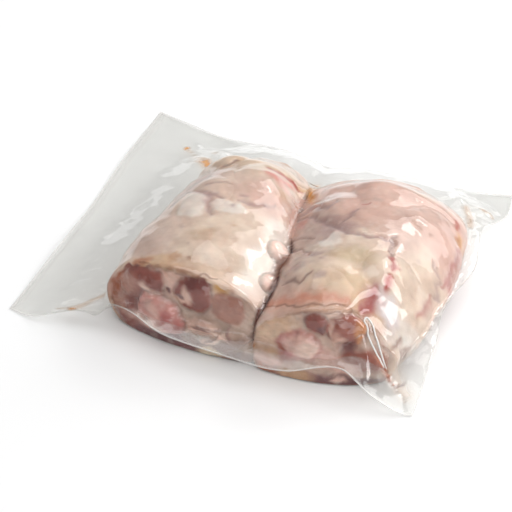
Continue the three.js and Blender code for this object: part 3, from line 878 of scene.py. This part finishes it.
def drape(web, hold, reach, side, tree, bridge, rounds):
    """Draws a web tight on the meat: tension against suction, on a coarse grid first."""
    for stride, count in zip(STRIDES, rounds):
        part = web[::stride, ::stride].copy()
        inner = part[1:-1, 1:-1]
        free = (1 - hold[::stride, ::stride])[1:-1, 1:-1]
        share = reach[::stride, ::stride][1:-1, 1:-1]
        loose = free > 0
        for _ in range(count):
            sides = (part[2:, 1:-1], part[:-2, 1:-1], part[1:-1, 2:], part[1:-1, :-2])
            spacing = sum(np.sum((s - inner) ** 2, axis=2) for s in sides) / 4
            inner += free[..., None] * TENSION * (sum(sides) / 4 - inner)
            moved = inner[loose]
            hug(moved, free[loose] * np.minimum(spacing[loose] / 4 / bridge, MOST_SUCTION), tree)
            level = film_middle(moved[:, :2]) * share[loose] + side * WEB_GAP
            moved[:, 2] = np.maximum(moved[:, 2], level) if side > 0 else np.minimum(moved[:, 2], level)
            moved[:, 2] = np.maximum(moved[:, 2], WEB_GAP)
            inner[loose] = moved
        held = hold[..., None]
        web = web * held + finer(part, stride, web.shape) * (1 - held) if stride > 1 else part
    return web


def crumple(web, flange, ring_no, side):
    """How far pleats, slow waves and ripples lift a web."""
    flat = web[..., :2]
    pleat = np.zeros(web.shape[:2])
    for path, width, height in PLEATS:
        gap, along = path_distance(flat, path)
        pleat += height * bell(gap / width) * np.clip(5 * along * (1 - along) + 0.2, 0, 1)
    waves = roughly(flat, FLANGE_WAVES) * ramp(ring_no, 0, 6) * ramp(web[..., 2], 0.5, 4)
    lift = flange * (pleat + waves)
    if side > 0:
        lift += (1 - flange) * (np.abs(roughly(web, RIPPLES)) + pleat)
    return lift


def juice_and_shade_under(flat):
    """How much juice and painted crease shade lie under each cell of the upper web, and their colour."""
    shift = [field(flat, size, seed) for size, seed in LINE_WANDER_FIELDS]
    bent = flat + np.stack(shift, axis=-1) * LINE_WANDER
    juice_and_shade = np.zeros(flat.shape[:2])
    juice_and_shade_colour = np.tile(linear(PAINTS["amber"]), (*juice_and_shade.shape, 1))
    for path, width, strength, paint in JUICE_AND_CREASE_SHADE:
        gap, _ = path_distance(bent, path)
        mask = strength * bell(gap / width)
        juice_and_shade_colour[mask > juice_and_shade] = linear(PAINTS[paint])
        juice_and_shade = np.maximum(juice_and_shade, mask)
    return juice_and_shade, juice_and_shade_colour


def join_webs(webs, layers, juice_and_shade_colour, middle, ring_no):
    """One closed mesh: a grid and its copy, laid on the two webs and joined along their edge."""
    m, n = (size - 1 for size in ring_no.shape)
    bm = bmesh.new()
    bmesh.ops.create_grid(bm, x_segments=m, y_segments=n, size=1)
    bm.verts.ensure_lookup_table()
    spots = np.array([v.co[:2] for v in bm.verts])
    index = np.rint((spots + 1) / 2 * [m, n]).astype(int)
    base = bmesh.ops.duplicate(bm, geom=bm.verts[:] + bm.edges[:] + bm.faces[:])
    bmesh.ops.reverse_faces(bm, faces=[g for g in base["geom"] if isinstance(g, bmesh.types.BMFace)])
    bm.verts.ensure_lookup_table()
    slots = {name: bm.verts.layers.float.new(name) for name in layers}
    juice_and_shade_slot = bm.verts.layers.float_color.new("juice_and_shade_colour")
    rim = []
    for k, v in enumerate(bm.verts):
        lower, (i, j) = k // len(index), index[k % len(index)]
        v.co = (webs[lower][i, j] - MIDDLE) * MM
        if ring_no[i, j] == 0:
            v.co.z = middle[i, j] * MM
            rim.append(v)
        for name, slot in slots.items():
            v[slot] = layers[name][lower][i, j]
        v[juice_and_shade_slot] = (*juice_and_shade_colour[i, j], 1)
    bmesh.ops.remove_doubles(bm, verts=rim, dist=1e-6)
    bmesh.ops.recalc_face_normals(bm, faces=bm.faces[:])
    return new_object("pouch_film", bm)


def build_film(cells, bridge, rounds):
    """The pouch: two webs drawn on to the meat, and joined along their edge."""
    tree = feet_tree()
    plan, drop = film_start(cells)
    middle = film_middle(plan)
    from_sides = [np.minimum(np.arange(k + 1), k - np.arange(k + 1)) for k in cells]
    ring_no = np.minimum.outer(*from_sides)
    hold = 1 - ramp(ring_no, HELD_RINGS, RINGS)
    # how much of the flange's height still keeps the webs apart
    reach = 1 - LIFT_LOSS * ramp(ring_no, RINGS, RINGS + LIFT_LOSS_RINGS)
    flange = 1 - ramp(ring_no, *FLANGE_ENDS)
    tops = [list(stations(piece, plan[..., 1]))[2] for piece in PIECES]
    hat = np.maximum(*tops) + HAT_CLEARANCE
    webs = []
    for side, far in ((1, hat), (-1, WEB_GAP)):
        height = middle + side * WEB_GAP
        height += (far - height) * np.sqrt(drop)
        web = np.concatenate([plan, height[..., None]], axis=2)
        web = drape(web, hold, reach, side, tree, bridge, rounds)
        lift = crumple(web, flange, ring_no, side)
        web[..., 2] = np.maximum(web[..., 2] + lift, WEB_GAP + 0.05 * side)
        webs.append(web)
    juice_and_shade, juice_and_shade_colour = juice_and_shade_under(webs[0][..., :2])
    # the pouch's rim is painted milky white: partly the sealed edge's own milkiness, partly a painted
    # highlight along the edge
    edge = 1 - ramp(ring_no, 0.5, 2.5)
    layers = {"flange": (flange, flange), "juice_and_shade": (juice_and_shade, np.zeros_like(juice_and_shade)), "rim": (edge, edge)}
    return join_webs(webs, layers, juice_and_shade_colour, middle, ring_no)


def build_pinch():
    """The pinched fold: a thin closed tube lying on the film."""
    film = bpy.data.objects["pouch_film"].data
    points = (read(film) / MM + MIDDLE).tolist()
    tree = BVHTree.FromPolygons(points, [p.vertices[:] for p in film.polygons])
    count, sides = PINCH_CELLS
    spine = np.array([tree.find_nearest(p)[0] for p in curve_through(PINCH, count + 1).tolist()])
    forward = np.gradient(spine, axis=0)
    forward /= np.linalg.norm(forward, axis=1)[:, None]
    across = np.cross(forward, [0, 0, 1])
    across /= np.linalg.norm(across, axis=1)[:, None]
    upward = np.cross(across, forward)
    bm = bmesh.new()
    bmesh.ops.create_grid(bm, x_segments=count, y_segments=sides, size=1)
    rim = bm.verts.layers.float.new("rim")
    for v in bm.verts:
        i = round((v.co.x + 1) / 2 * count)
        turn = math.pi * (v.co.y + 1)
        # it thins out at both ends
        radius = PINCH_RADIUS * min(1, 0.3 + 8 * i / count, 0.3 + 8 * (1 - i / count))
        out = math.cos(turn) * across[i] + math.sin(turn) * upward[i]
        v.co = (spine[i] + radius * out - MIDDLE) * MM
        v[rim] = PINCH_MILK
    bmesh.ops.remove_doubles(bm, verts=bm.verts[:], dist=1e-7)
    bmesh.ops.holes_fill(bm, edges=[e for e in bm.edges if e.is_boundary])
    bmesh.ops.recalc_face_normals(bm, faces=bm.faces[:])
    return new_object("film_pinch", bm)


# ---------- materials ----------

def add_node(tree, kind, inputs=(), **settings):
    """Adds a node. Inputs are (socket, value) pairs, where a value may be another node's output."""
    node = tree.nodes.new("ShaderNode" + kind)
    for key, value in settings.items():
        setattr(node, key, value)
    for socket, value in inputs:
        if isinstance(value, bpy.types.NodeSocket):
            tree.links.new(value, node.inputs[socket])
        else:
            node.inputs[socket].default_value = value
    return node


def new_material(name):
    material = bpy.data.materials.new(name)
    material.use_nodes = True
    material.node_tree.nodes.clear()
    return material, material.node_tree


def meat_material(settings):
    """Raw skin, fat and muscle: soft and moist, with light passing into it under a mottled surface."""
    material, tree = new_material("raw_calf_skin_and_muscle")
    where = add_node(tree, "TexCoord").outputs["Object"]
    paint = add_node(tree, "Attribute", attribute_name="paint")
    cut = add_node(tree, "Attribute", attribute_name="cut")
    # darker mottling, like bruised skin seen through its fat
    blotch = add_node(tree, "TexNoise", [("Vector", where), ("Scale", 1 / (16 * MM)), ("Detail", 4)])
    dim = add_node(tree, "MapRange", [
        ("Value", blotch.outputs[0]), ("From Min", 0.4), ("From Max", 0.65), ("To Max", 0.35),
    ])
    mottled = add_node(
        tree, "Mix", [(0, dim.outputs[0]), (6, paint.outputs["Color"]), (7, (*settings.bruise, 1))],
        data_type="RGBA", blend_type="MULTIPLY",
    )
    # pale specks of fat
    speck = add_node(tree, "TexNoise", [("Vector", where), ("Scale", 1 / (7 * MM)), ("Detail", 5)])
    share = add_node(tree, "MapRange", [
        ("Value", speck.outputs[0]), ("From Min", 0.55), ("From Max", 0.75), ("To Max", 0.25),
    ])
    colour = add_node(
        tree, "Mix", [(0, share.outputs[0]), (6, mottled.outputs[2]), (7, (*settings.fat, 1))],
        data_type="RGBA",
    )
    grain = add_node(tree, "TexNoise", [("Vector", where), ("Scale", 1 / (1.2 * MM)), ("Detail", 4)])
    bump = add_node(tree, "Bump", [("Strength", 0.35), ("Distance", 0.6 * MM), ("Height", grain.outputs[0])])
    # the cut face is a little wetter than the skin
    wet = add_node(tree, "MapRange", [("Value", cut.outputs["Fac"]), ("To Min", 0.5), ("To Max", 0.42)])
    principled = add_node(tree, "BsdfPrincipled", [
        ("Base Color", colour.outputs[2]), ("Roughness", wet.outputs[0]), ("Specular IOR Level", 0.3),
        ("Subsurface Weight", 0.35), ("Subsurface Radius", (1.0, 0.45, 0.3)), ("Subsurface Scale", 4 * MM),
        ("Normal", bump.outputs[0]),
    ])
    add_node(tree, "OutputMaterial", [("Surface", principled.outputs[0])])
    return material


def film_material(settings):
    """Clear pouch film: it mirrors the lights sharply, and looks milky only where it stands free."""
    material, tree = new_material("clear_pouch_film")
    where = add_node(tree, "TexCoord").outputs["Object"]
    flange, juice_and_shade, rim, juice_and_shade_colour = (
        add_node(tree, "Attribute", attribute_name=name) for name in ("flange", "juice_and_shade", "rim", "juice_and_shade_colour")
    )
    ripple = add_node(tree, "TexNoise", [("Vector", where), ("Scale", 1 / (7 * MM)), ("Detail", 2)])
    bump = add_node(tree, "Bump", [("Strength", 0.15), ("Distance", 0.8 * MM), ("Height", ripple.outputs[0])])
    clear = add_node(tree, "BsdfTransparent", [("Color", (*linear("f9f9f8"), 1))])
    milk = add_node(tree, "BsdfDiffuse", [("Color", (*settings.milk, 1))])
    haze = add_node(
        tree, "Math", [(0, flange.outputs["Fac"]), (1, 0.03), (2, 0.01)], operation="MULTIPLY_ADD"
    )
    # the rim is painted milkier still: partly the sealed edge's own milkiness, partly a painted highlight
    # along the edge
    edge = add_node(
        tree, "Math", [(0, rim.outputs["Fac"]), (1, 0.4), (2, haze.outputs[0])], operation="MULTIPLY_ADD"
    )
    veil = add_node(tree, "MixShader", [(0, edge.outputs[0]), (1, clear.outputs[0]), (2, milk.outputs[0])])
    # juice, and painted shade along the crease, in their own colours
    wet = add_node(tree, "BsdfDiffuse", [("Color", juice_and_shade_colour.outputs["Color"])])
    with_juice_and_shade = add_node(
        tree, "MixShader", [(0, juice_and_shade.outputs["Fac"]), (1, veil.outputs[0]), (2, wet.outputs[0])]
    )
    gloss = add_node(tree, "BsdfGlossy", [
        ("Color", (1, 1, 1, 1)), ("Roughness", 0.07), ("Normal", bump.outputs[0]),
    ])
    # a mirror that is faint seen square on and strong at a glancing angle, the same from both sides
    facing = add_node(tree, "LayerWeight", [("Blend", 0.5), ("Normal", bump.outputs[0])])
    steep = add_node(tree, "Math", [(0, facing.outputs["Facing"]), (1, 5.0)], operation="POWER")
    mirror = add_node(tree, "MapRange", [("Value", steep.outputs[0]), ("To Min", 0.045), ("To Max", 0.9)])
    shown = add_node(
        tree, "MixShader", [(0, mirror.outputs[0]), (1, with_juice_and_shade.outputs[0]), (2, gloss.outputs[0])]
    )
    add_node(tree, "OutputMaterial", [("Surface", shown.outputs[0])])
    return material


def floor_material():
    """Plain pale studio paper: matt, so only soft shadows show."""
    material, tree = new_material("pale_studio_paper")
    paper = add_node(tree, "BsdfDiffuse", [("Color", (*linear("efefef"), 1))])
    add_node(tree, "OutputMaterial", [("Surface", paper.outputs[0])])
    return material


# ---------- the add-on ----------

def fresh(name):
    """Removes an object of that name, so that a step can be run again."""
    old = bpy.data.objects.get(name)
    if old:
        bpy.data.objects.remove(old)


class CalfFootSettings(bpy.types.PropertyGroup):
    piece_cell: FloatProperty(
        name="Piece cell", description="Size of the cells of a piece's surface", default=0.00102, min=0.0009,
        unit="LENGTH",
    )
    film_cells_x: IntProperty(
        name="Film cells across", description="Cells of the film across the pouch, a multiple of 4",
        default=236,
    )
    film_cells_y: IntProperty(
        name="Film cells along", description="Cells of the film along the pouch, a multiple of 4",
        default=204,
    )
    bridge: FloatProperty(
        name="Bridging radius", description="Hollows narrower than this stay bridged by the film",
        default=0.003, unit="LENGTH",
    )
    bruise: FloatVectorProperty(
        name="Bruise", description="Tint of the darker mottling in skin and meat",
        default=linear("c2a59b"), min=0, max=1, subtype="COLOR",
    )
    fat: FloatVectorProperty(
        name="Fat", description="Colour of the pale specks in skin and meat",
        default=linear("e8d8cc"), min=0, max=1, subtype="COLOR",
    )
    milk: FloatVectorProperty(
        name="Film's milkiness", description="Colour of the film where it is folded or stands free",
        default=linear("f1efec"), min=0, max=1, subtype="COLOR",
    )


class StageSettings(bpy.types.PropertyGroup):
    camera_azimuth: FloatProperty(
        name="Camera azimuth", description="Camera's turn round the pack", default=math.radians(21.63),
        subtype="ANGLE",
    )
    camera_elevation: FloatProperty(
        name="Camera elevation", description="Camera's height above the horizon", default=math.radians(38.44),
        subtype="ANGLE",
    )
    camera_distance: FloatProperty(
        name="Camera distance", description="From the camera to what it looks at", default=1.15424,
        unit="LENGTH",
    )
    lens: FloatProperty(name="Lens", description="Focal length in millimetres", default=120.0)


class CALFFOOT_OT_pieces(bpy.types.Operator):
    """Build the two cut pieces of calf foot"""

    bl_idname = "calffoot.pieces"
    bl_label = "Cut pieces"

    def execute(self, context):
        settings = context.scene.calf_foot
        material = meat_material(settings)
        for piece in PIECES:
            fresh(piece["name"])
            obj = build_piece(piece, settings.piece_cell / MM)
            obj.data.materials.append(material)
            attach(obj, "root")
            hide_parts(NODE)
        return {"FINISHED"}


class CALFFOOT_OT_film(bpy.types.Operator):
    """Draw the clear pouch tight over the pieces"""

    bl_idname = "calffoot.film"
    bl_label = "Pouch film"

    def execute(self, context):
        settings = context.scene.calf_foot
        if any(piece["name"] not in bpy.data.objects for piece in PIECES):
            self.report({"ERROR"}, "Build the cut pieces first")
            raise RuntimeError("the film needs the cut pieces")
        fresh("pouch_film")
        fresh("film_pinch")
        rounds = FULL_ROUNDS
        cells = (settings.film_cells_x, settings.film_cells_y)
        pouch = build_film(cells, settings.bridge / MM, rounds)
        material = film_material(settings)
        for part in (pouch, build_pinch()):
            part.data.materials.append(material)
            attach(part, "root")
            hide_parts(NODE)
        return {"FINISHED"}


def add_light(name, place_at, size, power):
    fresh(name)
    data = bpy.data.lights.new(name, "AREA")
    data.shape = "RECTANGLE"
    data.size, data.size_y = size
    data.energy = power
    light = bpy.data.objects.new(name, data)
    light.location = place_at
    light.rotation_euler = (Vector(LIGHT_TARGET) - light.location).to_track_quat("-Z", "Y").to_euler()
    bpy.context.scene.collection.objects.link(light)


def add_floor():
    fresh("studio_floor")
    bm = bmesh.new()
    bmesh.ops.create_grid(bm, x_segments=1, y_segments=1, size=FLOOR_HALF)
    floor = new_object("studio_floor", bm)
    floor.data.materials.append(floor_material())


def add_air():
    """Faint even light from all round."""
    world = bpy.data.worlds.new("studio_air")
    world.use_nodes = True
    background = world.node_tree.nodes["Background"]
    background.inputs["Color"].default_value = (1, 1, 1, 1)
    background.inputs["Strength"].default_value = AIR_LIGHT
    bpy.context.scene.world = world


def add_camera(settings):
    fresh("camera")
    data = bpy.data.cameras.new("camera")
    data.lens = settings.lens
    data.sensor_width = 36
    camera = bpy.data.objects.new("camera", data)
    a, e = settings.camera_azimuth, settings.camera_elevation
    back = Vector((math.sin(a) * math.cos(e), -math.cos(a) * math.cos(e), math.sin(e)))
    target = Vector((CAMERA_TARGET - MIDDLE) * MM)
    camera.location = target + back * settings.camera_distance
    camera.rotation_euler = (-back).to_track_quat("-Z", "Y").to_euler()
    bpy.context.scene.collection.objects.link(camera)
    bpy.context.scene.camera = camera


class CALFFOOT_OT_stage(bpy.types.Operator):
    """Set the floor, the studio lights and the camera"""

    bl_idname = "calffoot.stage"
    bl_label = "Studio"

    def execute(self, context):
        add_floor()
        for row in LIGHTS:
            add_light(*row)
        add_air()
        add_camera(context.scene.calf_stage)
        context.scene.view_settings.view_transform = "Standard"
        return {"FINISHED"}


class CALFFOOT_PT_panel(bpy.types.Panel):
    """Steps and sizes of the pack"""

    bl_label = "Calf foot"
    bl_idname = "CALFFOOT_PT_panel"
    bl_space_type = "VIEW_3D"
    bl_region_type = "UI"
    bl_category = "Calf foot"

    def draw(self, context):
        for group in (context.scene.calf_foot, context.scene.calf_stage):
            for name in group.bl_rna.properties.keys():
                if name not in ("rna_type", "name"):
                    self.layout.prop(group, name)
        for step in STEPS:
            self.layout.operator(step.bl_idname)


STEPS = (CALFFOOT_OT_pieces, CALFFOOT_OT_film, CALFFOOT_OT_stage)
CLASSES = (CalfFootSettings, StageSettings, *STEPS, CALFFOOT_PT_panel)


def register():
    for cls in CLASSES:
        bpy.utils.register_class(cls)
    bpy.types.Scene.calf_foot = PointerProperty(type=CalfFootSettings)
    bpy.types.Scene.calf_stage = PointerProperty(type=StageSettings)


def unregister():
    del bpy.types.Scene.calf_stage
    del bpy.types.Scene.calf_foot
    for cls in reversed(CLASSES):
        bpy.utils.unregister_class(cls)


def main():
    register()
    bpy.ops.calffoot.pieces()
    bpy.ops.calffoot.film()
    bpy.ops.calffoot.stage()


if __name__ == "__main__":
    main()
